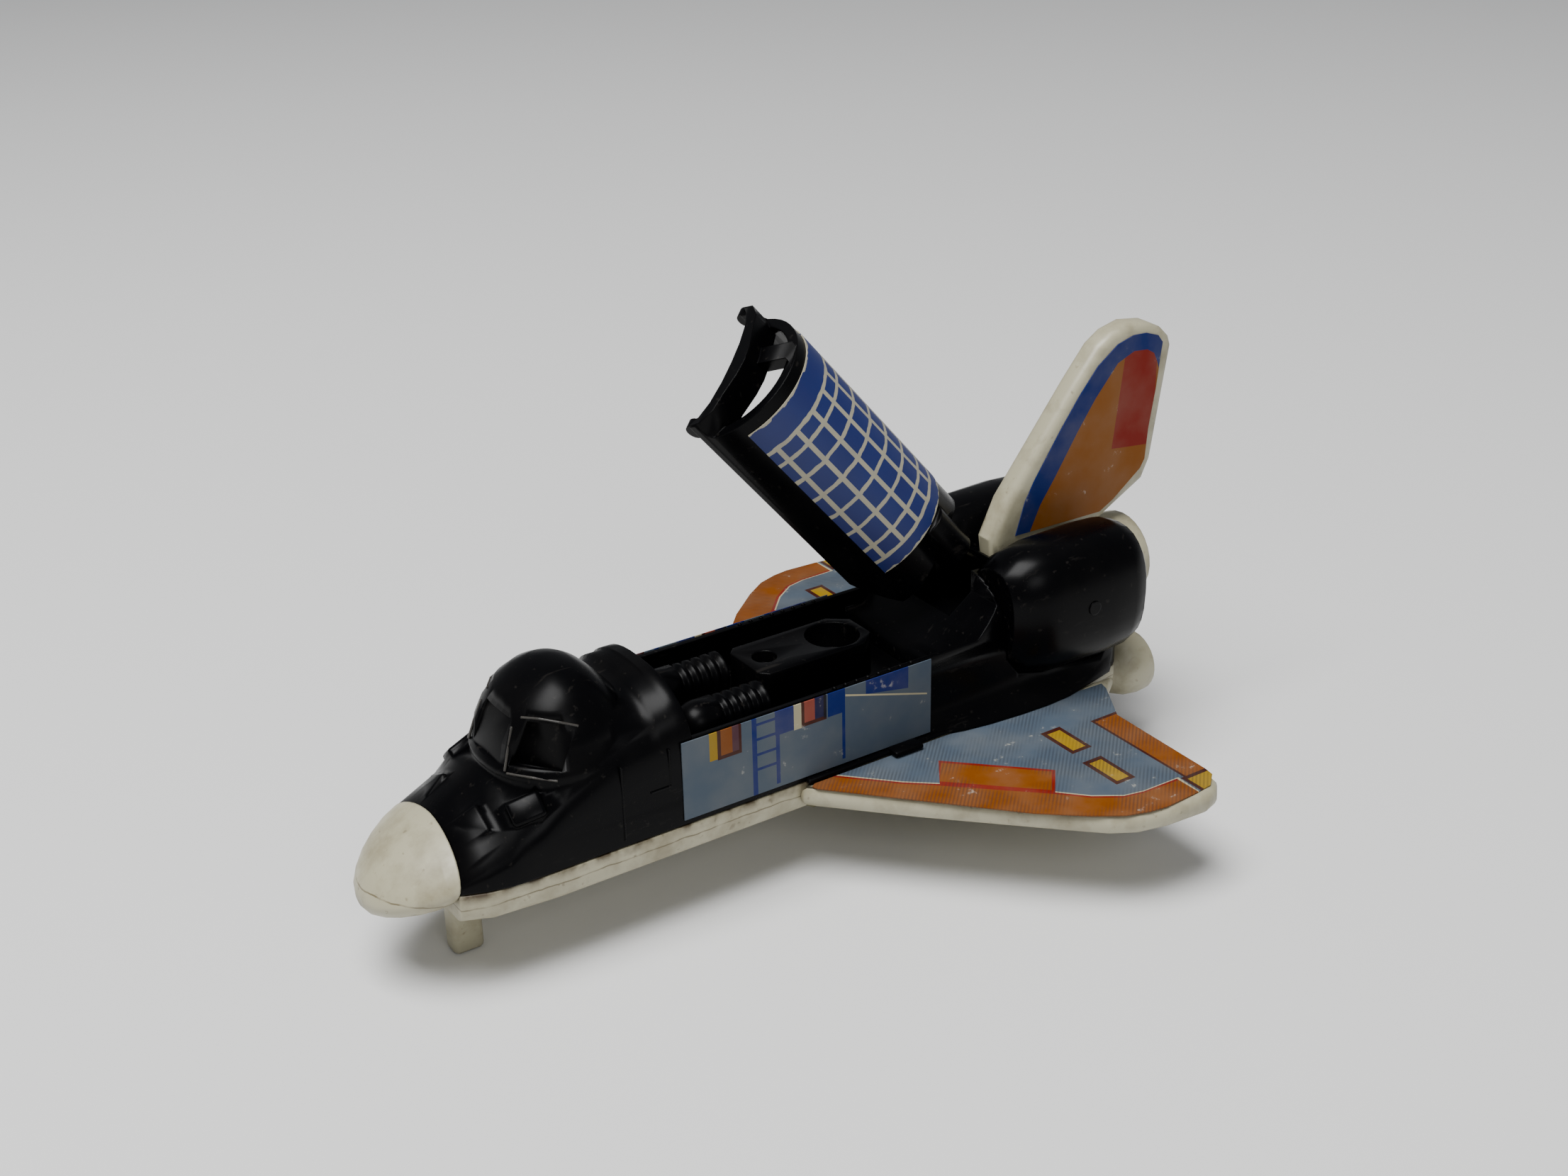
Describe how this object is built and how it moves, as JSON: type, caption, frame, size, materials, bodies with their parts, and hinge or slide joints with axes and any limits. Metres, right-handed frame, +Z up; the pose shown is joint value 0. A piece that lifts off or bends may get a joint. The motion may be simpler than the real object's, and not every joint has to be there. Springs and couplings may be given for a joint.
{
  "type": "toy space shuttle",
  "caption": "Small plastic toy space shuttle with delta wings, tail fin, engine nozzles and an open cargo bay whose arched door swings up on a pivot.",
  "frame": {"origin": "centre of the bounding box on the floor, under the gear", "axes": "+X to the nose, +Y to port, +Z up"},
  "size_m": [0.0984, 0.0684, 0.054],
  "materials": {
    "black_plastic": "glossy black moulding, scuffed",
    "white_plastic": "aged white moulding",
    "grey_label": "printed self-adhesive label, worn",
    "blue_label": "printed self-adhesive label, worn",
    "ochre_label": "printed self-adhesive label, worn"
  },
  "bodies": {
    "shuttle": {"upper_hull": "black_plastic", "bay_block": "black_plastic", "door_pivot": "black_plastic", "bay_tank_port": "black_plastic", "bay_tank_starboard": "black_plastic", "engine_pod_port": "black_plastic", "engine_pod_starboard": "black_plastic", "nose_cone": "white_plastic", "belly": "white_plastic", "tail_fin": "white_plastic", "nose_gear": "white_plastic", "nozzle_top": "white_plastic", "wing_port": "white_plastic", "wing_starboard": "white_plastic", "nozzle_port": "white_plastic", "nozzle_starboard": "white_plastic", "main_gear_port": "white_plastic", "main_gear_starboard": "white_plastic", "wing_label_port": "grey_label", "wing_label_starboard": "grey_label", "side_label_port": "grey_label", "side_label_starboard": "grey_label", "fin_label_port": "ochre_label", "fin_label_starboard": "ochre_label"},
    "cargo_door": {"bay_door": "black_plastic", "door_label": "blue_label"}
  },
  "joints": [
    {"name": "door_swing", "type": "hinge", "parent": "shuttle", "child": "cargo_door", "pos_m": [-0.0204, 0, 0.0264], "axis": [0.734, 0.5205, 0.4362], "range_deg": [0, 76.4]}
  ]
}
